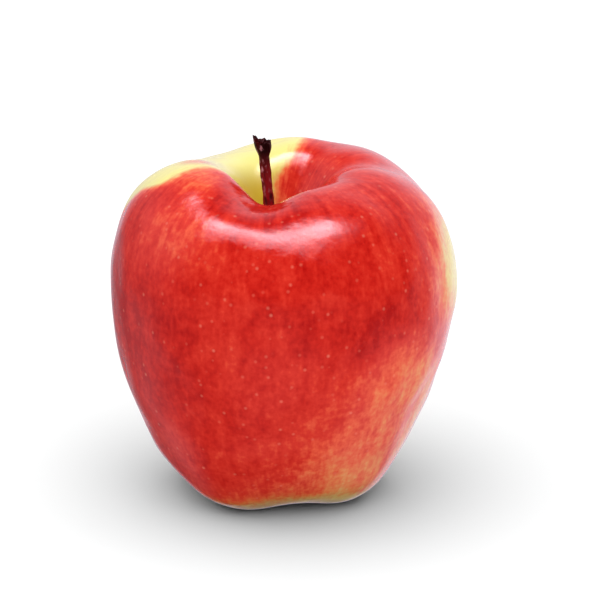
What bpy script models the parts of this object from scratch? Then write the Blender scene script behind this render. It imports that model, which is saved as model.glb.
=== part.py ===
"""A whole red apple standing upright on its five lobes, with its stalk and its dried calyx.

Lengths are in millimetres until MM turns them into metres. +Z is up. An azimuth of 0 faces the
front, -Y, and grows towards +X.
"""

import bmesh
import bpy
import numpy as np

MM = 0.001

# Fruit

# Outline of the grooves between the lobes, as (radius, height) from the stalk hollow over the rim
# and down to the eye. A place on the outline is counted in these points, from 0.
OUTLINE = np.array([
    (0.0, 58.0),  # floor of the stalk hollow
    (3.4, 58.4),
    (6.0, 63.6),  # throat
    (9.0, 68.2),
    (13.0, 74.0),  # lip
    (23.3, 73.8),  # rim
    (32.7, 69.7),  # shoulder
    (37.9, 59.3),
    (39.1, 49.4),  # widest
    (36.9, 32.1),
    (30.5, 19.5),  # lower flank
    (25.8, 8.9),  # toe
    (15.1, 0.1),  # foot
    (7.4, 2.2),  # basin wall
    (3.4, 8.0),
    (0.0, 9.0),  # eye
])
LAST_PLACE = len(OUTLINE) - 1
RIM, RIM_REACH = 4.76, 1.76
SHOULDER, SHOULDER_REACH = 6.2, 2.0
FOOT, FOOT_REACH, FOOT_DROP_REACH = 11.8, 2.2, 1.2

# Each lobe: azimuth at the rim and at the foot, how narrow its crest is and how far it rises, the
# share by which the lobe widens the shoulder and the foot, and how far its foot reaches down
LOBES = [
    (-67, -36, 2.75, 5.3, 0.024, 0.128, 2.0),
    (34, 52, 4.8, 2.5, 0.018, 0.109, 2.0),
    (74, 106, 17.7, 2.15, 0.027, 0.158, 1.8),
    (126, 188, 5.7, 3.5, 0.010, 0.120, 1.8),
    (173, 258, 12.5, 3.0, 0.007, 0.141, 1.9),
]
FOOT_SHARPNESS = 8.0

# The low saddle of the rim at the front: azimuth, place, reach, sharpness and depth
SADDLE = (-16, 4.26, 1.28, 11.1, 3.4)

# Where the fruit is lopsided: azimuth, place, reach and the share by which that side is fuller.
SIDES = [
    (-75, 10.6, 2.4, 0.066),
    (80, 6.0, 1.6, -0.041),
    (95, 11.2, 2.0, -0.031),
]

AXIS_X = 1.0  # the fruit's axis stands this far right of the middle of its box
HOLLOW_SHIFT_X = -3.4  # the stalk hollow sits left of the axis
HOLLOW_SHIFT_REACH = 4.2

COLUMNS = 60
RINGS_PER_STEP = 3
RINGS_PER_FOOT_STEP = 6  # closer rings, so that each foot ends in a true flat
FOOT_STEPS = (11, 12)

# Stalk

STALK_SEAT = 0.7  # its foot stands this far over the hollow's lowest point, clear of the walls
STALK_ASIDE = -0.4  # how far its foot stands aside of that point, along X
STALK_LENGTH = 23.5
STALK_LEAN_X, STALK_LEAN_Y = -2.0, 0.6  # how far the tip stands from over the foot
STALK_BOW = 1.5  # power by which the lean grows up the stalk
STALK_RADIUS = 1.08
STALK_FOOT_FLARE, STALK_FOOT_REACH = 0.40, 3.0
STALK_TIP_FLARE, STALK_TIP_REACH = 0.85, 2.4
STALK_HORNS = [(-95, 1.45), (80, -0.1)]  # azimuth and height of the splinters of the broken end
STALK_HORN_SHARPNESS = 4.0
STALK_BREAK_DIP = 0.5
STALK_COLUMNS, STALK_RINGS = 16, 18
STALK_RING_SPACING = 0.8  # power that sets the rings closer towards the tip

# Calyx

CALYX_TOP = 8.0  # height of its upper face, just under the eye
CALYX_NECK = 1.7
CALYX_SPREAD = 1.7
CALYX_THICKNESS = 0.5
SEPALS = 5
SEPAL_ROOT, SEPAL_LENGTH = 1.2, 2.8
SEPAL_TURN = 20
SEPAL_POINTEDNESS = 1.5
CALYX_CURL = 1.4  # power by which the wall spreads on its way down
SLIT_SPREAD = 0.4  # share of the spread that is left in the slits between the sepals
INSIDE_TOP, INSIDE_FOOT = 0.3, 0.97  # where its inner wall begins and ends, as shares of its length
CALYX_COLUMNS, CALYX_RINGS = 40, 5


def hump(place, middle, reach):
    """A smooth hill of height 1 over a place on the outline."""
    return np.exp(-(((place - middle) / reach) ** 2))


def swell(azimuth, middle, sharpness):
    """A smooth hill of height 1 over an azimuth, which is given in degrees."""
    return np.exp(sharpness * (np.cos(azimuth - np.radians(middle)) - 1))


def outline_at(place):
    """Radius and height of the outline, drawn as a uniform cubic B-spline over its points.

    One mirrored point beyond each end makes the curve cross the axis level.
    """
    mirrored = np.array([-1.0, 1.0])
    points = np.concatenate([OUTLINE[1:2] * mirrored, OUTLINE, OUTLINE[-2:-1] * mirrored])
    first = np.minimum(place.astype(int), LAST_PLACE - 1)
    f = (place - first)[..., None]
    weights = ((1 - f) ** 3, 3 * f**3 - 6 * f**2 + 4, -3 * f**3 + 3 * f**2 + 3 * f + 1, f**3)
    return sum(weight * points[first + i] for i, weight in enumerate(weights)) / 6


def fruit_surface(azimuth, place):
    """The skin: the outline turned round the axis, with lobes, a fuller left and flat feet.

    A lobe lifts the rim, widens the shoulder and pushes its foot out and down. Its azimuth and
    sharpness slide from the rim's to the foot's. The hollow leans left by a hill over place 0.
    """
    radius, height = np.moveaxis(outline_at(place), -1, 0)
    down_side = np.clip((place - RIM) / (FOOT - RIM), 0, 1)
    fullness = np.ones_like(place)
    for rim_azimuth, foot_azimuth, rim_sharpness, lift, shoulder, foot, drop in LOBES:
        middle = rim_azimuth + (foot_azimuth - rim_azimuth) * down_side
        sharpness = rim_sharpness + (FOOT_SHARPNESS - rim_sharpness) * down_side
        lobe = swell(azimuth, middle, sharpness)
        height = height + lobe * lift * hump(place, RIM, RIM_REACH)
        height = height - lobe * drop * hump(place, FOOT, FOOT_DROP_REACH)
        fullness += lobe * shoulder * hump(place, SHOULDER, SHOULDER_REACH)
        fullness += lobe * foot * hump(place, FOOT, FOOT_REACH)
    middle, at, reach, sharpness, depth = SADDLE
    height = height - depth * swell(azimuth, middle, sharpness) * hump(place, at, reach)
    for side, middle, reach, share in SIDES:
        fullness += share * np.cos(azimuth - np.radians(side)) * hump(place, middle, reach)
    x = AXIS_X + HOLLOW_SHIFT_X * hump(place, 0, HOLLOW_SHIFT_REACH)
    x = x + radius * fullness * np.sin(azimuth)
    y = -radius * fullness * np.cos(azimuth)
    return np.stack([x, y, np.maximum(height, 0)], axis=-1)


def round_azimuths(columns):
    return np.linspace(0, 2 * np.pi, columns, endpoint=False)


def ring_places():
    """Places of the fruit's rings, without the two poles."""
    places = []
    for step in range(LAST_PLACE):
        count = RINGS_PER_FOOT_STEP if step in FOOT_STEPS else RINGS_PER_STEP
        places.extend(step + np.arange(count) / count)
    return np.array(places[1:])


def lofted(name, rings, first_pole, last_pole, material, location):
    """A closed skin over a stack of rings, with each end fanned to its pole."""
    bm = bmesh.new()
    loops = []
    for ring in rings:
        verts = [bm.verts.new(point) for point in ring * MM]
        loops.append([bm.edges.new((verts[i - 1], verts[i])) for i in range(len(verts))])
    for loop, following in zip(loops, loops[1:]):
        bmesh.ops.bridge_loops(bm, edges=loop + following)
    for loop, pole in ((loops[0], first_pole), (loops[-1], last_pole)):
        tip = bm.verts.new(np.array(pole) * MM)
        for edge in loop:
            bm.faces.new((*edge.verts, tip))
    bmesh.ops.recalc_face_normals(bm, faces=bm.faces)
    mesh = bpy.data.meshes.new(name)
    bm.to_mesh(mesh)
    bm.free()
    mesh.shade_smooth()
    mesh.materials.append(material)
    piece = bpy.data.objects.new(name, mesh)
    piece.location = np.array(location) * MM
    bpy.context.collection.objects.link(piece)
    return piece


def plain_material(name, colour, roughness):
    material = bpy.data.materials.new(name)
    material.use_nodes = True
    shader = material.node_tree.nodes["Principled BSDF"]
    shader.inputs["Base Color"].default_value = (*colour, 1.0)
    shader.inputs["Roughness"].default_value = roughness
    shader.inputs["Metallic"].default_value = 0.0
    return material


def make_fruit():
    azimuth, place = np.meshgrid(round_azimuths(COLUMNS), ring_places())
    poles = fruit_surface(np.zeros(2), np.array([0.0, LAST_PLACE]))
    skin = plain_material("crimson_skin", (0.55, 0.035, 0.025), 0.3)
    return lofted("fruit", fruit_surface(azimuth, place), *poles, skin, (0, 0, 0))


def make_stalk():
    """A thin tube along a gently bowed path, wider at its foot and at its broken, splintered tip."""
    share = np.linspace(0, 1, STALK_RINGS) ** STALK_RING_SPACING
    azimuth, share = np.meshgrid(round_azimuths(STALK_COLUMNS), share)
    along = share * STALK_LENGTH
    from_tip = STALK_LENGTH - along
    radius = STALK_RADIUS
    radius = radius + STALK_FOOT_FLARE * np.exp(-along / STALK_FOOT_REACH)
    radius = radius + STALK_TIP_FLARE * np.exp(-((from_tip / STALK_TIP_REACH) ** 2))
    splinters = sum(rise * swell(azimuth, at, STALK_HORN_SHARPNESS) for at, rise in STALK_HORNS)
    height = along + splinters * np.exp(-from_tip / STALK_TIP_REACH)
    rings = np.stack([
        STALK_LEAN_X * share**STALK_BOW + radius * np.sin(azimuth),
        STALK_LEAN_Y * share**STALK_BOW - radius * np.cos(azimuth),
        height,
    ], axis=-1)
    tip = (STALK_LEAN_X, STALK_LEAN_Y, STALK_LENGTH - STALK_BREAK_DIP)
    floor = fruit_surface(np.zeros(1), np.zeros(1))[0]
    bark = plain_material("stalk_bark", (0.09, 0.012, 0.012), 0.6)
    return lofted("stalk", rings, (0, 0, 0), tip, bark, floor + (STALK_ASIDE, 0, STALK_SEAT))


def make_calyx():
    """A small crown of dried sepals: its wall goes down outside and comes back up inside.

    Each column of the wall is as long as the sepal there, and the wall spreads as it goes down,
    most of all at the sepals' points.
    """
    azimuths = round_azimuths(CALYX_COLUMNS)
    sepal = np.abs(np.cos(SEPALS / 2 * (azimuths - np.radians(SEPAL_TURN)))) ** SEPAL_POINTEDNESS
    length = SEPAL_ROOT + SEPAL_LENGTH * sepal
    down = np.linspace(0, 1, CALYX_RINGS)
    inside_up = np.linspace(INSIDE_TOP, INSIDE_FOOT, CALYX_RINGS)[::-1]
    rings = []
    for inset, shares in ((0, down), (CALYX_THICKNESS, inside_up)):
        for share in shares:
            spread = CALYX_SPREAD * share**CALYX_CURL * (SLIT_SPREAD + (1 - SLIT_SPREAD) * sepal)
            radius = CALYX_NECK - inset + spread
            x, y = radius * np.sin(azimuths), -radius * np.cos(azimuths)
            rings.append(np.stack([x, y, -length * share], axis=-1))
    husk = plain_material("calyx_husk", (0.11, 0.07, 0.04), 0.8)
    inner_pole = (0, 0, -SEPAL_ROOT * INSIDE_TOP)
    return lofted("calyx", rings, (0, 0, 0), inner_pole, husk, (AXIS_X, 0, CALYX_TOP))


def main():
    for old in list(bpy.data.objects):
        bpy.data.objects.remove(old)
    apple = bpy.data.objects.new("apple", None)
    bpy.context.collection.objects.link(apple)
    for piece in (make_fruit(), make_stalk(), make_calyx()):
        piece.parent = apple


main()
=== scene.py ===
"""A whole ripe apple: a crimson blush over yellow skin, a woody stalk and a dried calyx.

Shapes are worked out in millimetres and become metres as their meshes are made. An azimuth of 0
faces the front, -Y, and grows towards +X. A place is a point of the fruit's outline, counted in
the outline's own points from the floor of the stalk hollow, 0, to the eye underneath, 15.
"""

import bpy
import numpy as np
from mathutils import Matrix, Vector


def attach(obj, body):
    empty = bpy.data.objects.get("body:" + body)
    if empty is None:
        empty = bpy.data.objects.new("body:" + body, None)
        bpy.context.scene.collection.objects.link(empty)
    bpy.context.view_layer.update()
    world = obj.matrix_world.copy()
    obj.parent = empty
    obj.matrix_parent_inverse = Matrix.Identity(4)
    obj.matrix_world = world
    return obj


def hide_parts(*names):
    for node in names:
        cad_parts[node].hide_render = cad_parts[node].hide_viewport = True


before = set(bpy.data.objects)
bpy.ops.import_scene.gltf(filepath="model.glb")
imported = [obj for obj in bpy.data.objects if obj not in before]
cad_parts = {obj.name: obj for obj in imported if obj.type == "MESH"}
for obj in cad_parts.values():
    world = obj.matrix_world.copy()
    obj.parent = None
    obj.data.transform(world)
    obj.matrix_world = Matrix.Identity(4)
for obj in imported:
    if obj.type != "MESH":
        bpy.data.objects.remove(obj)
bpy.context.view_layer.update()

MM = 0.001

# Sizes of the fruit, the same as the solid's

# Outline of the grooves between the lobes, as (radius, height)
OUTLINE = np.array([
    (0.0, 58.0),  # floor of the stalk hollow
    (3.4, 58.4),
    (6.0, 63.6),  # throat
    (9.0, 68.2),
    (13.0, 74.0),  # lip
    (23.3, 73.8),  # rim
    (32.7, 69.7),  # shoulder
    (37.9, 59.3),
    (39.1, 49.4),  # widest
    (36.9, 32.1),
    (30.5, 19.5),  # lower flank
    (25.8, 8.9),  # toe
    (15.1, 0.1),  # foot
    (7.4, 2.2),  # basin wall
    (3.4, 8.0),
    (0.0, 9.0),  # eye
])
LAST_PLACE = len(OUTLINE) - 1
RIM, RIM_REACH = 4.76, 1.76
SHOULDER, SHOULDER_REACH = 6.2, 2.0
FOOT, FOOT_REACH, FOOT_DROP_REACH = 11.8, 2.2, 1.2

# Each lobe: azimuth at the rim and at the foot, how narrow its crest is and how far it rises, the
# share by which the lobe widens the shoulder and the foot, and how far its foot reaches down
LOBES = [
    (-67, -36, 2.75, 5.3, 0.024, 0.128, 2.0),
    (34, 52, 4.8, 2.5, 0.018, 0.109, 2.0),
    (74, 106, 17.7, 2.15, 0.027, 0.158, 1.8),
    (126, 188, 5.7, 3.5, 0.010, 0.120, 1.8),
    (173, 258, 12.5, 3.0, 0.007, 0.141, 1.9),
]
FOOT_SHARPNESS = 8.0

# The low saddle of the rim at the front: azimuth, place, reach, sharpness and depth
SADDLE = (-16, 4.26, 1.28, 11.1, 3.4)

# Where the fruit is lopsided: azimuth, place, reach and the share by which that side is fuller
SIDES = [
    (-75, 10.6, 2.4, 0.066),
    (80, 6.0, 1.6, -0.041),
    (95, 11.2, 2.0, -0.031),
]
AXIS_X = 1.0
HOLLOW_SHIFT_X, HOLLOW_SHIFT_REACH = -3.4, 4.2
GIRTH_RADIUS = 39.0

FRUIT_COLUMNS, FRUIT_ROWS = 384, 255

# Faint unevenness of the skin: how many waves, their lengths, and their height per length
WAVES, WAVE_SEED = 14, 7
WAVE_LENGTHS = (8.0, 24.0)
WAVE_STEEPNESS = 0.0035
FLAT_FOOT_RISE = 4.0  # the waves fade out over this height above the flat feet

# Sizes of the stalk

STALK_SEAT = 0.7  # its foot stands this far over the hollow's lowest point
STALK_ASIDE = -0.4  # and this far aside of it, along X
STALK_LENGTH = 23.5
STALK_LEAN = Vector((-1.9, 0.6, 0.0))  # how far the tip stands from over the foot
STALK_BOW = 1.5  # power by which the lean grows up the stalk
STALK_RADIUS = 1.18
STALK_ROWS, STALK_COLUMNS, STALK_CAP_ROWS = 150, 72, 10

# Ridges along the stalk: how many, their turn from foot to tip, where they start, and their depth
# as a share of the radius
STALK_RIDGES = [(5, 2.2, 0, 0.045), (3, -3.0, 1, 0.035), (11, 5.0, 0, 0.030)]
STALK_FOOT_FLARE, STALK_FOOT_REACH = 0.35, 2.6
STALK_TIP_FLARE, STALK_TIP_REACH, STALK_TIP_SHARPNESS = 0.68, 2.9, 4

# The broken end: azimuth, sharpness, share by which it flares there, and height of the splinter
SPLINTERS = [(-95, 3, 0.30, 0), (85, 5, 0.22, 0), (-95, 5, 0, 1.45), (85, 6, 0, -0.1)]
BREAK_DIP = 0.9

# Sizes of the calyx

CALYX_TOP = 8.0  # height of its upper edge, just under the eye
SEPALS, SEPAL_TURN = 5, 20
SEPAL_LENGTH, SEPAL_WIDTH, SEPAL_THICKNESS = 3.5, 1.05, 0.16
SEPAL_ROOT = 1.25  # how far from the axis it starts
SEPAL_SPREAD, SEPAL_CURL = 0.5, 1.5  # how far it leans out, and curls out at its point
CUP_RADIUS, CUP_TAPER, CUP_WALL, CUP_DEPTH = 1.75, 0.5, 0.45, 1.3
STAMENS, STAMEN_SEED = 15, 3
STAMEN_LENGTH, STAMEN_RADIUS, STAMEN_KNOB = 2.0, 0.075, 0.10
STAMEN_STEP = 2.4  # radians round the axis from one to the next


def hump(place, middle, reach):
    """A smooth hill of height 1 over a place on the outline."""
    return np.exp(-(((place - middle) / reach) ** 2))


def swell(azimuth, middle, sharpness):
    """A smooth hill of height 1 over an azimuth, which is given in degrees."""
    return np.exp(sharpness * (np.cos(azimuth - np.radians(middle)) - 1))


def around(columns):
    """Azimuths of the columns of a closed skin."""
    return np.linspace(0, 2 * np.pi, columns, endpoint=False)


def outline_at(place):
    """Radius and height of the outline: a uniform cubic B-spline over its points.

    One mirrored point beyond each end makes the curve cross the axis level.
    """
    mirrored = np.array([-1.0, 1.0])
    points = np.concatenate([OUTLINE[1:2] * mirrored, OUTLINE, OUTLINE[-2:-1] * mirrored])
    first = np.minimum(place.astype(int), LAST_PLACE - 1)
    f = (place - first)[..., None]
    weights = ((1 - f) ** 3, 3 * f**3 - 6 * f**2 + 4, -3 * f**3 + 3 * f**2 + 3 * f + 1, f**3)
    return sum(weight * points[first + i] for i, weight in enumerate(weights)) / 6


def fruit_surface(azimuth, place):
    """The outline turned round the axis, with lobes, fuller and leaner sides and flat feet.

    A lobe lifts the rim, widens the shoulder and pushes its foot out and down. Its azimuth and
    sharpness slide from the rim's to the foot's. The hollow leans left by a hill over place 0.
    """
    radius, height = np.moveaxis(outline_at(place), -1, 0)
    down_side = np.clip((place - RIM) / (FOOT - RIM), 0, 1)
    fullness = np.ones_like(place)
    for rim_azimuth, foot_azimuth, rim_sharpness, lift, shoulder, foot, drop in LOBES:
        middle = rim_azimuth + (foot_azimuth - rim_azimuth) * down_side
        sharpness = rim_sharpness + (FOOT_SHARPNESS - rim_sharpness) * down_side
        lobe = swell(azimuth, middle, sharpness)
        height = height + lobe * lift * hump(place, RIM, RIM_REACH)
        height = height - lobe * drop * hump(place, FOOT, FOOT_DROP_REACH)
        fullness += lobe * shoulder * hump(place, SHOULDER, SHOULDER_REACH)
        fullness += lobe * foot * hump(place, FOOT, FOOT_REACH)
    middle, at, reach, sharpness, depth = SADDLE
    height = height - depth * swell(azimuth, middle, sharpness) * hump(place, at, reach)
    for side, middle, reach, share in SIDES:
        fullness += share * np.cos(azimuth - np.radians(side)) * hump(place, middle, reach)
    x = AXIS_X + HOLLOW_SHIFT_X * hump(place, 0, HOLLOW_SHIFT_REACH)
    x = x + radius * fullness * np.sin(azimuth)
    y = -radius * fullness * np.cos(azimuth)
    return np.stack([x, y, np.maximum(height, 0)], axis=-1)


def even_places(rows):
    """Places with equal lengths of skin between them, without the poles, and those lengths."""
    fine = np.linspace(0, LAST_PLACE, 4000)
    steps = np.linalg.norm(np.diff(outline_at(fine), axis=0), axis=1)
    along = np.concatenate([[0], np.cumsum(steps)])
    wanted = np.linspace(0, along[-1], rows + 2)[1:-1]
    return np.interp(wanted, along, fine), wanted


def unevenness(points):
    """A sum of plane waves through space, each with its own direction, length and phase."""
    rng = np.random.default_rng(WAVE_SEED)
    total = np.zeros(points.shape[:-1])
    for length in np.geomspace(*WAVE_LENGTHS, WAVES):
        direction = rng.normal(size=3)
        direction /= np.linalg.norm(direction)
        phase = rng.uniform(0, 2 * np.pi)
        total += WAVE_STEEPNESS * length * np.sin(points @ direction * 2 * np.pi / length + phase)
    return total


def closed_skin(name, rings, first_pole, last_pole, attributes=None):
    """A closed mesh over a stack of rings, each end fanned to its pole, with faces outwards.

    Attributes are numbers or vectors over the rings. Each pole takes the mean of the ring beside it.
    """
    rows, columns, _ = rings.shape
    points = np.concatenate([[first_pole], rings.reshape(-1, 3), [last_pole]]) * MM
    index = 1 + np.arange(rows * columns).reshape(rows, columns)
    beside = np.roll(index, -1, axis=1)
    quads = np.stack([index[:-1], beside[:-1], beside[1:], index[1:]], axis=-1).reshape(-1, 4)
    last = np.full(columns, len(points) - 1)
    fans = np.concatenate([
        np.stack([np.zeros(columns, int), beside[0], index[0]], axis=-1),
        np.stack([last, index[-1], beside[-1]], axis=-1),
    ])
    corners = points[fans[:, 0]], points[fans[:, 1]], points[fans[:, 2]]
    volume = np.einsum("ij,ij->", corners[0], np.cross(corners[1], corners[2]))
    a, b, c, d = (points[quads[:, i]] for i in range(4))
    volume += np.einsum("ij,ij->", a, np.cross(b, c)) + np.einsum("ij,ij->", a, np.cross(c, d))
    if volume < 0:
        quads, fans = quads[:, ::-1], fans[:, ::-1]
    mesh = bpy.data.meshes.new(name)
    mesh.from_pydata(points.tolist(), [], quads.tolist() + fans.tolist())
    mesh.shade_smooth()
    for label, values in (attributes or {}).items():
        kind, field = ("FLOAT_VECTOR", "vector") if values.ndim == 3 else ("FLOAT", "value")
        poles = values[0].mean(axis=0), values[-1].mean(axis=0)
        flat = np.concatenate([np.ravel(poles[0]), values.ravel(), np.ravel(poles[1])])
        mesh.attributes.new(label, kind, "POINT").data.foreach_set(field, flat)
    piece = bpy.data.objects.new(name, mesh)
    bpy.context.scene.collection.objects.link(piece)
    return piece


def joined(name, pieces):
    """One piece made of the given pieces."""
    with bpy.context.temp_override(active_object=pieces[0], selected_editable_objects=pieces):
        bpy.ops.object.join()
    pieces[0].name = pieces[0].data.name = name
    return pieces[0]


# Where the red thins to the yellow ground, and one paler spot on the left rim that is a painted sheen:
# azimuth, place, half width in degrees, reach in places, and how much of the red goes
PALE_PATCHES_AND_SHEEN = [
    (-43, 6.3, 17, 1.0, 0.13),  # orange flush high on the left
    # painted sheen on the left rim, made by thinning the red
    (-53, 4.9, 9, 0.5, 0.22),
    (88, 7.55, 24, 0.95, 0.70),  # yellow strip at the right
    (104, 7.2, 26, 1.5, 0.26),
    (78, 6.4, 12, 0.7, 0.22),
    (46, 8.65, 16, 0.5, 0.20),  # tan patch low on the right
    (66, 9.1, 14, 0.5, 0.14),
    (40, 9.9, 34, 1.3, 0.25),  # salmon around and below it
    (72, 10.1, 13, 0.9, 0.32),
    (30, 11.1, 44, 0.8, 0.18),
    (205, 8.6, 30, 2.0, 0.25),
    (140, 10.0, 22, 1.4, 0.30),
]
# Where the red is deepest, in the same form
DEEP_PATCHES = [
    (-86, 4.5, 14, 0.5, 0.55),
    (-76, 7.7, 10, 1.1, 0.16),
    (-50, 8.2, 22, 1.5, 0.13),
    (8, 7.2, 16, 1.0, 0.08),
    (-5, 5.3, 32, 0.6, 0.10),
    (34, 8.0, 14, 0.5, 0.12),
]
PATCH_EDGE = 1.4
BASE_COVER = 0.815

# The yellow sector of the rim and hollow: place, its border towards the back and towards the left
SECTOR_BORDERS = np.array([
    (0.0, 188, 285),
    (2.6, 188, 292),
    (3.0, 188, 296),
    (3.3, 183, 298),
    (3.6, 172, 300),
    (3.9, 168, 302),
    (4.35, 166, 296),
    (4.8, 167, 293),
    (5.2, 168, 294),
    (5.5, 169, 292),
    (5.8, 171, 282),
    (7.0, 178, 262),
    (9.0, 196, 240),
])
SECTOR_SOFTNESS = 1.125  # how soft its border is, in millimetres along the skin
SECTOR_FADE = (5.6, 9.0)  # places between which it fades out down the flank

# The foot, where the red thins: place, steepness of the change, and how much of the red goes
PALE_FOOT = (11.3, 9, 0.54)

# Where the yellow deepens to gold: the hollow's floor, where the darkening is partly a painted shade of
# the recess, and the foot, as place, steepness, amount
HOLLOW_GOLD_AND_SHADE = (3.5, 5, 1.0)
GOLDEN_FOOT = (11.2, 9, 0.6)
GOLD_AND_SHADE_UNDER_RED = 1.2  # how fast the gold and painted shade of the hollow go as the red covers it
STREAKY_SHOULDER = (5.6, 1.4)  # place and reach of the long streaks


def below(place, at, steepness):
    """0 above a place on the outline and 1 below it, with a smooth step between."""
    return 1 / (1 + np.exp(-(place - at) * steepness))


def oval(azimuth, place, middle, at, half_width, reach):
    """A soft-edged oval patch of the skin, 1 inside and 0 outside."""
    turn = np.degrees(np.angle(np.exp(1j * (azimuth - np.radians(middle)))))
    distance = (turn / half_width) ** 2 + ((place - at) / reach) ** 2
    return np.exp(-(distance**PATCH_EDGE))


def yellow_sector(azimuth, place, points):
    """1 in the bare yellow sector of the rim, falling to 0 over a few millimetres at its border."""
    at, *borders = SECTOR_BORDERS.T
    back, left = (np.radians(np.interp(place, at, border)) for border in borders)
    inside = np.minimum(azimuth - back, left - azimuth)
    radius = np.hypot(points[..., 0] - AXIS_X, points[..., 1])
    edge = 1 / (1 + np.exp(-inside * np.maximum(radius, 5) / SECTOR_SOFTNESS))
    start, end = SECTOR_FADE
    return edge * np.clip((end - place) / (end - start), 0, 1)


def red_cover(azimuth, place, points):
    """How much red lies over the yellow ground, and less on the left rim for a painted sheen: 0 is bare
    yellow and 1 the deepest crimson.
    """
    cover = np.full_like(azimuth, BASE_COVER)
    for *where, amount in PALE_PATCHES_AND_SHEEN:
        cover -= amount * oval(azimuth, place, *where)
    for *where, amount in DEEP_PATCHES:
        cover += amount * oval(azimuth, place, *where)
    at, steepness, amount = PALE_FOOT
    cover -= amount * below(place, at, steepness)
    return cover - yellow_sector(azimuth, place, points)


def gold(place, cover):
    """How much the skin's colour deepens to gold, in the hollow partly as a painted shade."""
    at, steepness, amount = HOLLOW_GOLD_AND_SHADE
    bare = np.clip(1 - GOLD_AND_SHADE_UNDER_RED * cover, 0, 1)
    hollow = amount * bare * (1 - below(place, at, steepness))
    at, steepness, amount = GOLDEN_FOOT
    return hollow + amount * below(place, at, steepness)


def make_fruit():
    places, lengths = even_places(FRUIT_ROWS)
    azimuth, place = np.meshgrid(around(FRUIT_COLUMNS), places)
    points = fruit_surface(azimuth, place)
    across = np.roll(points, -1, axis=1) - np.roll(points, 1, axis=1)
    normal = np.cross(across, np.gradient(points, axis=0))
    normal /= np.linalg.norm(normal, axis=-1, keepdims=True)
    above_feet = np.clip(points[..., 2] / FLAT_FOOT_RISE, 0, 1)
    points += normal * (unevenness(points) * above_feet)[..., None]
    meridian = np.stack([
        GIRTH_RADIUS * np.sin(azimuth),
        -GIRTH_RADIUS * np.cos(azimuth),
        np.broadcast_to(lengths[:, None], azimuth.shape),
    ], axis=-1)
    cover = red_cover(azimuth, place, points)
    poles = fruit_surface(np.zeros(2), np.array([0.0, LAST_PLACE]))
    fruit = closed_skin("fruit_skin", points, *poles, {
        "meridian": meridian,
        "red_cover": cover,
        "gold": gold(place, cover),
        "streaky": hump(place, *STREAKY_SHOULDER),
    })
    fruit.visible_diffuse = False  # keeps the white paper free of a red cast
    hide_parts("fruit")
    return fruit


def make_stalk():
    """A bowed tube with long ridges and lumps, flared at its foot and at its broken tip."""
    share = np.concatenate([np.linspace(0, 1, STALK_ROWS), np.ones(STALK_CAP_ROWS)])
    cap = np.linspace(0, 0.92, STALK_CAP_ROWS + 1)[1:]
    inward = np.concatenate([np.zeros(STALK_ROWS), cap])
    azimuth, share = np.meshgrid(around(STALK_COLUMNS), share)
    inward = np.broadcast_to(inward[:, None], share.shape)
    along = share * STALK_LENGTH
    from_tip = STALK_LENGTH - along
    lumps = 1 + 0.040 * np.sin(along * 0.9 + 1.5 * np.cos(azimuth))
    lumps += 0.030 * np.sin(along * 2.3 + 2.0 * np.sin(azimuth))
    for count, turn, start, depth in STALK_RIDGES:
        lumps += depth * np.cos(count * azimuth + turn * share + start)
    flare = 0.85 + 0.10 * np.cos(7 * azimuth)
    splinters = 0.16 * np.cos(6 * azimuth + 1) + 0.10 * np.cos(11 * azimuth)
    for at, sharpness, wider, rise in SPLINTERS:
        flare += wider * swell(azimuth, at, sharpness)
        splinters += rise * swell(azimuth, at, sharpness)
    head = np.exp(-((from_tip / STALK_TIP_REACH) ** STALK_TIP_SHARPNESS))
    radius = STALK_RADIUS * lumps + STALK_TIP_FLARE * head * flare
    radius = radius + STALK_FOOT_FLARE * np.exp(-along / STALK_FOOT_REACH)
    height = along + splinters * np.exp(-from_tip / STALK_TIP_REACH) * (1 - inward) ** 0.5
    rough = 0.22 * np.cos(3 * azimuth + 9 * inward) + 0.16 * np.cos(7 * azimuth - 14 * inward)
    height = height - BREAK_DIP * np.sqrt(inward) + rough * inward * (1 - inward) * 3
    radius = radius * (1 - inward)
    rings = np.stack([
        STALK_LEAN.x * share**STALK_BOW + radius * np.sin(azimuth),
        STALK_LEAN.y * share**STALK_BOW - radius * np.cos(azimuth),
        height,
    ], axis=-1)
    foot = fruit_surface(np.zeros(1), np.zeros(1))[0] + (STALK_ASIDE, 0, STALK_SEAT)
    tip = np.array((STALK_LEAN.x, STALK_LEAN.y, STALK_LENGTH - BREAK_DIP))
    fibre = np.stack([np.sin(azimuth), -np.cos(azimuth), along], axis=-1)
    stalk = closed_skin("stalk_bark", rings + foot, foot, tip + foot, {
        "fibre": fibre,
        "height": share,
        # the side towards the light, where pale streaks are painted on as a sheen
        "lit_side": swell(azimuth, -60, 1.2),
    })
    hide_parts("stalk")
    return stalk


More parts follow.
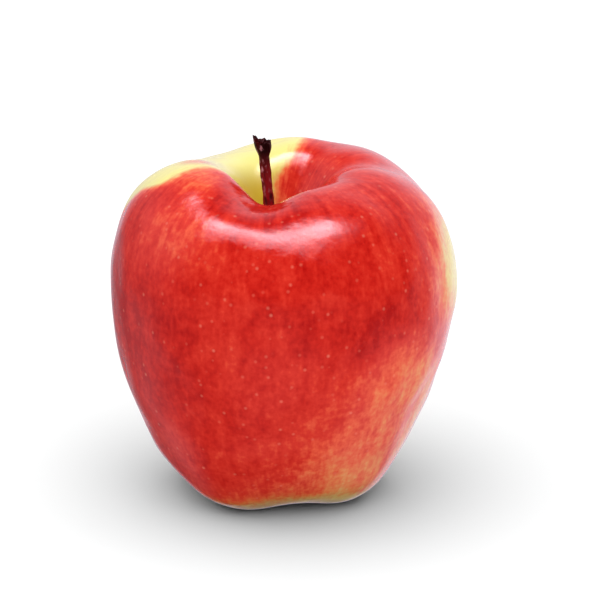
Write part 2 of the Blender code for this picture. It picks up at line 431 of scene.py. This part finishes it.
def make_calyx():
    """Five dried sepals round a short cup.

    A sepal is a flattened tube: its middle line runs down and outwards and curls at its point,
    and its width swells near the root and tapers to the point.
    """
    turn, v = np.meshgrid(around(20), np.linspace(0, 1, 26))
    pieces = []
    for i in range(SEPALS):
        heading = np.radians(SEPAL_TURN + i * 360 / SEPALS)
        length = SEPAL_LENGTH * (1 + 0.1 * np.sin(i * 2.4))
        out = SEPAL_ROOT + SEPAL_SPREAD * v + SEPAL_CURL * v**2.4
        down = length * v * (1 - 0.12 * v**4)
        width = SEPAL_WIDTH * (1 - v) ** 0.7 * (0.75 + 0.9 * v * (1 - v)) + 0.04
        thick = SEPAL_THICKNESS * (1 - v) ** 0.5 + 0.03
        side = width * np.cos(turn)
        dish = 0.30 * (side / SEPAL_WIDTH) ** 2
        r = out + thick * np.sin(turn) - dish + 0.08 * np.sin(9 * v + i)
        rings = np.stack([
            AXIS_X + r * np.sin(heading) + side * np.cos(heading),
            -r * np.cos(heading) + side * np.sin(heading),
            CALYX_TOP - 0.15 - down,
        ], axis=-1)
        ends = rings[0].mean(axis=0), rings[-1].mean(axis=0)
        pieces.append(closed_skin(f"sepal_{i}", rings, *ends, {"dryness": v}))
    turn, v = np.meshgrid(around(60), np.linspace(0, 1, 14))
    r = CUP_RADIUS - CUP_TAPER * v + 0.05 * np.cos(10 * turn) - np.where(v > 0.5, CUP_WALL, 0)
    cup = np.stack([
        AXIS_X + r * np.sin(turn),
        -r * np.cos(turn),
        CALYX_TOP - CUP_DEPTH * np.sin(np.pi * v),
    ], axis=-1)
    ends = [np.array((AXIS_X, 0, CALYX_TOP - drop)) for drop in (0, 0.4)]
    pieces.append(closed_skin("cup", cup, *ends, {"dryness": v * 0.3}))
    calyx = joined("calyx_sepals", pieces)
    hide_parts("calyx")
    return calyx


def make_stamens():
    """A tuft of thin dried filaments that lean out from the middle of the cup, each with a knob."""
    rng = np.random.default_rng(STAMEN_SEED)
    turn, v = np.meshgrid(around(8), np.linspace(0, 1, 14))
    pieces = []
    for i in range(STAMENS):
        heading = i * STAMEN_STEP
        start = 0.25 + 0.55 * (i / STAMENS)
        lean = 0.35 + 0.5 * rng.uniform()
        length = STAMEN_LENGTH + 0.7 * rng.uniform()
        radius = STAMEN_RADIUS + STAMEN_KNOB * hump(v, 0.93, 0.06)
        radius = radius * np.sqrt(np.clip(1.02 - v**12, 0, 1))
        out = start + lean * v**1.6
        bend = 0.18 * np.sin(3 * v + i)
        rings = np.stack([
            AXIS_X + out * np.sin(heading) + bend * np.cos(heading) + radius * np.sin(turn),
            -out * np.cos(heading) + bend * np.sin(heading) - radius * np.cos(turn),
            CALYX_TOP - 0.4 - length * v,
        ], axis=-1)
        ends = rings[0].mean(axis=0), rings[-1].mean(axis=0)
        pieces.append(closed_skin(f"stamen_{i}", rings, *ends, {"dryness": v}))
    stamens = joined("calyx_stamens", pieces)
    return stamens


# Materials


def linear(hex_colour):
    """Linear RGBA of an sRGB hex colour."""
    channels = np.array([int(hex_colour[i:i + 2], 16) for i in (1, 3, 5)]) / 255
    channels = np.where(channels <= 0.04045, channels / 12.92, ((channels + 0.055) / 1.055) ** 2.4)
    return (*channels, 1.0)


def add(tree, kind, inputs=None, stops=None, **settings):
    """Adds a node with its settings, its inputs' values or links, and a ramp's colour stops."""
    made = tree.nodes.new("ShaderNode" + kind)
    for name, value in settings.items():
        setattr(made, name, value)
    for socket, value in (inputs or {}).items():
        if isinstance(value, bpy.types.NodeSocket):
            tree.links.new(value, made.inputs[socket])
        else:
            made.inputs[socket].default_value = value
    if stops:
        ramp = made.color_ramp
        while len(ramp.elements) < len(stops):
            ramp.elements.new(1.0)
        for element, (position, colour) in zip(ramp.elements, stops):
            element.position, element.color = position, linear(colour)
    return made


MIX_FACTOR, MIX_A, MIX_B, MIX_RESULT = 0, 6, 7, 2


def new_material(name):
    """A material with a bare Principled shader."""
    material = bpy.data.materials.new(name)
    material.use_nodes = True
    return material, material.node_tree, material.node_tree.nodes["Principled BSDF"]


def stretched_noise(tree, vector, width, length, detail):
    """Noise of 0 to 1 whose grains have the given width across and length along Z."""
    scaled = add(tree, "Mapping", {"Vector": vector, "Scale": (1 / width, 1 / width, 1 / length)})
    noise = add(tree, "TexNoise", {"Vector": scaled.outputs[0], "Scale": 1.0, "Detail": detail})
    return noise.outputs["Fac"]


def skin_material():
    """Waxy fruit skin, glossy, its red pigment streaked and mottled over a yellow ground, with a painted
    shade in the hollow and a painted sheen on the left rim.
    """
    material, tree, shader = new_material("waxy_apple_skin")
    meridian = add(tree, "Attribute", attribute_name="meridian").outputs["Vector"]
    position = add(tree, "TexCoord").outputs["Object"]
    position = add(tree, "Mapping", {"Vector": position, "Scale": (1 / MM,) * 3}).outputs["Vector"]
    # Each layer of the pigment's unevenness: coordinates, width and length in mm, detail, strength
    layers = [
        (meridian, 2.6, 9.0, 2.0, 0.28),
        (meridian, 0.9, 2.2, 1.0, 0.13),
        (position, 1.2, 1.2, 2.0, 0.30),
        (position, 3.2, 3.2, 1.0, 0.22),
        (position, 8.0, 8.0, 1.0, 0.22),
    ]
    cover = add(tree, "Attribute", attribute_name="red_cover").outputs["Fac"]
    for vector, width, length, detail, strength in layers:
        noise = stretched_noise(tree, vector, width, length, detail)
        centred = add(tree, "Math", {0: noise, 1: 0.5}, operation="SUBTRACT")
        cover = add(tree, "Math", {0: centred.outputs[0], 1: strength, 2: cover},
                    operation="MULTIPLY_ADD").outputs[0]
    # Long streaks on the shoulder only, where the attribute that fades them isn't 0
    streaky = add(tree, "Attribute", attribute_name="streaky").outputs["Fac"]
    streaks = stretched_noise(tree, meridian, 1 / 0.36, 20.0, 2.0)
    centred = add(tree, "Math", {0: streaks, 1: 0.5}, operation="SUBTRACT")
    streaks = add(tree, "Math", {0: centred.outputs[0], 1: streaky}, operation="MULTIPLY")
    cover = add(tree, "Math", {0: streaks.outputs[0], 1: 0.38, 2: cover},
                operation="MULTIPLY_ADD").outputs[0]
    red = add(tree, "ValToRGB", {"Fac": cover}, stops=[
        (0.00, "#F1E78E"),
        (0.25, "#EAC07A"),
        (0.42, "#EF8A54"),
        (0.58, "#EB5A3C"),
        (0.72, "#DA3426"),
        (0.85, "#CB231A"),
        (1.00, "#AF100E"),
    ])
    gold_and_shade = add(tree, "Attribute", attribute_name="gold").outputs["Fac"]
    # The gold multiply darkens the hollow's floor, partly its own gold and partly a painted shade of the
    # recess; at the foot it is the skin's own deeper gold.
    tinted = add(tree, "Mix", {
        MIX_FACTOR: gold_and_shade, MIX_A: red.outputs["Color"], MIX_B: linear("#E2BF62"),
    }, data_type="RGBA", blend_type="MULTIPLY")
    dots = add(tree, "TexVoronoi", {"Vector": position, "Scale": 1 / 2.5})
    own = add(tree, "SeparateColor", {0: dots.outputs["Color"]})
    dot = add(tree, "MapRange", {"Value": dots.outputs["Distance"], "From Min": 0.21, "From Max": 0.04})
    dot = add(tree, "Math", {0: dot.outputs[0], 1: own.outputs[0]}, operation="MULTIPLY")
    red_there = add(tree, "MapRange", {"Value": cover, "From Min": 0.1, "From Max": 0.6, "To Max": 0.38})
    strength = add(tree, "Math", {0: dot.outputs[0], 1: red_there.outputs[0]}, operation="MULTIPLY")
    colour = add(tree, "Mix", {
        MIX_FACTOR: strength.outputs[0], MIX_A: tinted.outputs[MIX_RESULT], MIX_B: linear("#F59A80"),
    }, data_type="RGBA")
    tree.links.new(colour.outputs[MIX_RESULT], shader.inputs["Base Color"])
    peel = add(tree, "TexNoise", {"Vector": position, "Scale": 1 / 3.0, "Detail": 3.0})
    bump = add(tree, "Bump", {"Height": peel.outputs["Fac"], "Strength": 0.6, "Distance": 0.2 * MM})
    tree.links.new(bump.outputs[0], shader.inputs["Normal"])
    shader.inputs["Roughness"].default_value = 0.15
    shader.inputs["IOR"].default_value = 1.45
    return material


def bark_material():
    """Dry stalk bark: maroon low down, nearly black at the broken tip, with pale streaks that are partly
    wear and partly a painted sheen on the side towards the light.
    """
    material, tree, shader = new_material("dry_stalk_bark")
    height = add(tree, "Attribute", attribute_name="height").outputs["Fac"]
    fibre = add(tree, "Attribute", attribute_name="fibre").outputs["Vector"]
    base = add(tree, "ValToRGB", {"Fac": height}, stops=[
        (0.00, "#8A0209"),
        (0.45, "#84040C"),
        (0.72, "#690D10"),
        (0.84, "#3E0608"),
        (0.91, "#1C0203"),
    ])
    blotches = add(tree, "Mapping", {"Vector": fibre, "Scale": (1.1, 1.1, 0.35), "Location": (4, 0, 2)})
    blotches = add(tree, "TexNoise", {"Vector": blotches.outputs[0], "Scale": 1.0, "Detail": 4.0})
    dark = add(tree, "MapRange", {"Value": blotches.outputs["Fac"], "From Min": 0.50, "From Max": 0.66})
    base = add(tree, "Mix", {
        MIX_FACTOR: dark.outputs[0], MIX_A: base.outputs["Color"], MIX_B: linear("#3A0306"),
    }, data_type="RGBA")
    stretched = add(tree, "Mapping", {"Vector": fibre, "Scale": (1.9, 1.9, 0.8)})
    streaks = add(tree, "TexNoise", {"Vector": stretched.outputs[0], "Scale": 1.0, "Detail": 3.0})
    wear_and_sheen = add(tree, "MapRange", {"Value": streaks.outputs["Fac"], "From Min": 0.56, "From Max": 0.68})
    upper = add(tree, "MapRange", {"Value": height, "From Min": 0.35, "From Max": 0.7})
    lit_side = add(tree, "Attribute", attribute_name="lit_side").outputs["Fac"]
    share = add(tree, "Math", {0: wear_and_sheen.outputs[0], 1: upper.outputs[0]}, operation="MULTIPLY")
    share = add(tree, "Math", {0: share.outputs[0], 1: lit_side}, operation="MULTIPLY")
    # pale streaks: partly wear, partly a painted sheen on the side towards the light
    colour = add(tree, "Mix", {
        MIX_FACTOR: share.outputs[0], MIX_A: base.outputs[MIX_RESULT], MIX_B: linear("#AE6A70"),
    }, data_type="RGBA")
    tree.links.new(colour.outputs[MIX_RESULT], shader.inputs["Base Color"])
    bump = add(tree, "Bump", {"Height": streaks.outputs["Fac"], "Strength": 0.7, "Distance": 0.15 * MM})
    tree.links.new(bump.outputs[0], shader.inputs["Normal"])
    shader.inputs["Roughness"].default_value = 0.5
    shader.inputs["Specular IOR Level"].default_value = 0.05
    return material


def husk_material():
    """Dead leaf tissue: brown, matte and a little darker towards the points."""
    material, tree, shader = new_material("dried_calyx_husk")
    dryness = add(tree, "Attribute", attribute_name="dryness").outputs["Fac"]
    position = add(tree, "TexCoord").outputs["Object"]
    noise = add(tree, "TexNoise", {"Vector": position, "Scale": 1 / (0.5 * MM), "Detail": 3.0})
    brown = add(tree, "Math", {0: noise.outputs["Fac"], 1: 0.8, 2: dryness}, operation="MULTIPLY_ADD")
    colour = add(tree, "ValToRGB", {"Fac": brown.outputs[0]}, stops=[
        (0.3, "#8C7A4A"),
        (0.8, "#6B4A2B"),
        (1.0, "#3A2415"),
    ])
    tree.links.new(colour.outputs["Color"], shader.inputs["Base Color"])
    bump = add(tree, "Bump", {"Height": noise.outputs["Fac"], "Strength": 0.6, "Distance": 0.1 * MM})
    tree.links.new(bump.outputs[0], shader.inputs["Normal"])
    shader.inputs["Roughness"].default_value = 0.85
    return material


def paper_material():
    """Matte white studio paper."""
    material, tree, shader = new_material("matte_white_paper")
    shader.inputs["Base Color"].default_value = (0.94, 0.94, 0.94, 1.0)
    shader.inputs["Roughness"].default_value = 1.0
    shader.inputs["Specular IOR Level"].default_value = 0.0
    return material


# Studio


FLOOR_HALF = 4.0  # metres


def make_floor():
    mesh = bpy.data.meshes.new("floor")
    corners = [(x * FLOOR_HALF, y * FLOOR_HALF, 0) for x, y in ((-1, -1), (1, -1), (1, 1), (-1, 1))]
    mesh.from_pydata(corners, [], [(0, 1, 2, 3)])
    mesh.materials.append(paper_material())
    floor = bpy.data.objects.new("floor", mesh)
    bpy.context.scene.collection.objects.link(floor)
    floor.visible_glossy = False  # what the gloss sees below the horizon is the world's


TARGET = Vector((3.75, 0.0, 44.83)) * MM
CAMERA_DISTANCE = 800 * MM
CAMERA_ELEVATION = 19
CAMERA_LENS, CAMERA_SENSOR = 211.2, 36


def towards(azimuth, elevation):
    """Unit vector towards a compass direction, in degrees."""
    a, e = np.radians(azimuth), np.radians(elevation)
    return Vector((np.sin(a) * np.cos(e), -np.cos(a) * np.cos(e), np.sin(e)))


def make_camera():
    data = bpy.data.cameras.new("camera")
    data.lens, data.sensor_width = CAMERA_LENS, CAMERA_SENSOR
    data.clip_start, data.clip_end = 0.01, 20
    camera = bpy.data.objects.new("camera", data)
    back = towards(0, CAMERA_ELEVATION)
    camera.location = TARGET + back * CAMERA_DISTANCE
    camera.rotation_euler = (-back).to_track_quat("-Z", "Y").to_euler()
    bpy.context.scene.collection.objects.link(camera)
    bpy.context.scene.camera = camera


SKY_AZIMUTH, SKY_ELEVATION = -50, 83
SKY_ENERGY, SKY_ANGLE = 3.9, 115
FILL_AZIMUTH, FILL_ELEVATION, FILL_DISTANCE = 30, 12, 0.9  # the distance and size in metres
FILL_SIZE, FILL_RADIANCE = 0.6, 1.1


def make_lights():
    """An overcast sky and a soft lamp low at the front, which light only the matte colours."""
    sky = bpy.data.lights.new("overhead_sky", "SUN")
    sky.energy = SKY_ENERGY
    sky.angle = np.radians(SKY_ANGLE)
    fill = bpy.data.lights.new("front_fill", "AREA")
    fill.shape = "SQUARE"
    fill.size = FILL_SIZE
    fill.energy = FILL_RADIANCE * 4 * FILL_SIZE**2
    overhead = towards(SKY_AZIMUTH, SKY_ELEVATION)
    front = towards(FILL_AZIMUTH, FILL_ELEVATION)
    stands = ((sky, Vector(), overhead), (fill, TARGET + front * FILL_DISTANCE, front))
    for data, place, facing in stands:
        # Without this, scattered rays that pass through the fruit find the lamp and grey its shadow
        data.cycles.use_multiple_importance_sampling = False
        lamp = bpy.data.objects.new(data.name, data)
        lamp.location = place
        lamp.rotation_euler = facing.to_track_quat("Z", "Y").to_euler()
        lamp.visible_glossy = False
        lamp.visible_camera = False
        bpy.context.scene.collection.objects.link(lamp)


# What the gloss mirrors: round glows with soft edges, as azimuth, elevation, radius of the full
# glow and radius where it ends, in degrees, and radiance
ROOM_GLOWS = [
    (20, 84, 2, 18, 9.0),  # overhead softbox
    (0, 84, 8, 30, 3.0),
    (50, 75, 2, 18, 9.5),
    (60, 62, 2, 18, 3.4),
    (60, 62, 8, 30, 1.0),
    (20, 62, 4, 16, 2.4),
    (-20, 66, 4, 16, 3.8),
    (-60, 62, 2, 18, 5.0),
    (-80, 73, 2, 18, 7.5),
    (-100, 72, 2, 17, 9.0),
    (-100, 35, 12, 50, 0.6),  # wall behind on the left
    (-110, -8, 20, 65, 0.18),
    (160, 5, 25, 75, 0.77),  # wall behind on the right
    (160, 20, 8, 30, 0.28),
    (140, -10, 12, 50, 0.40),
    (-105, -38, 8, 34, 0.35),  # paper
    (0, -42, 8, 40, 0.22),
    (85, -42, 12, 40, 0.50),
]
ROOM_TINT = (0.95, 0.88, 1.0, 1.0)


def make_world():
    """White to the camera, and to the gloss a room of soft glows. It lights nothing else."""
    world = bpy.data.worlds.new("white_studio")
    world.use_nodes = True
    bpy.context.scene.world = world
    tree = world.node_tree
    direction = add(tree, "TexCoord").outputs["Generated"]
    room = 0.0
    for azimuth, elevation, full, end, radiance in ROOM_GLOWS:
        middle = towards(azimuth, elevation)
        cosine = add(tree, "VectorMath", {0: direction, 1: middle}, operation="DOT_PRODUCT")
        angle = add(tree, "Math", {0: cosine.outputs["Value"]}, operation="ARCCOSINE")
        glow = add(tree, "MapRange", {
            "Value": angle.outputs[0], "From Min": np.radians(end), "From Max": np.radians(full),
            "To Max": radiance,
        }, interpolation_type="SMOOTHSTEP")
        room = add(tree, "Math", {0: room, 1: glow.outputs[0]}, operation="ADD").outputs[0]
    path = add(tree, "LightPath")
    paper = add(tree, "Background", {"Strength": path.outputs["Is Camera Ray"], "Color": (1, 1, 1, 1)})
    room = add(tree, "Math", {0: path.outputs["Is Glossy Ray"], 1: room}, operation="MULTIPLY")
    gloss = add(tree, "Background", {"Strength": room.outputs[0], "Color": ROOM_TINT})
    both = add(tree, "AddShader", {0: paper.outputs[0], 1: gloss.outputs[0]})
    tree.links.new(both.outputs[0], tree.nodes["World Output"].inputs["Surface"])


pieces = {
    make_fruit(): skin_material(),
    make_stalk(): bark_material(),
}
husk = husk_material()
for piece in (make_calyx(), make_stamens()):
    pieces[piece] = husk
for piece, material in pieces.items():
    piece.data.materials.clear()
    piece.data.materials.append(material)
    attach(piece, "root")
make_floor()
make_lights()
make_world()
make_camera()
bpy.context.scene.view_settings.view_transform = "Standard"
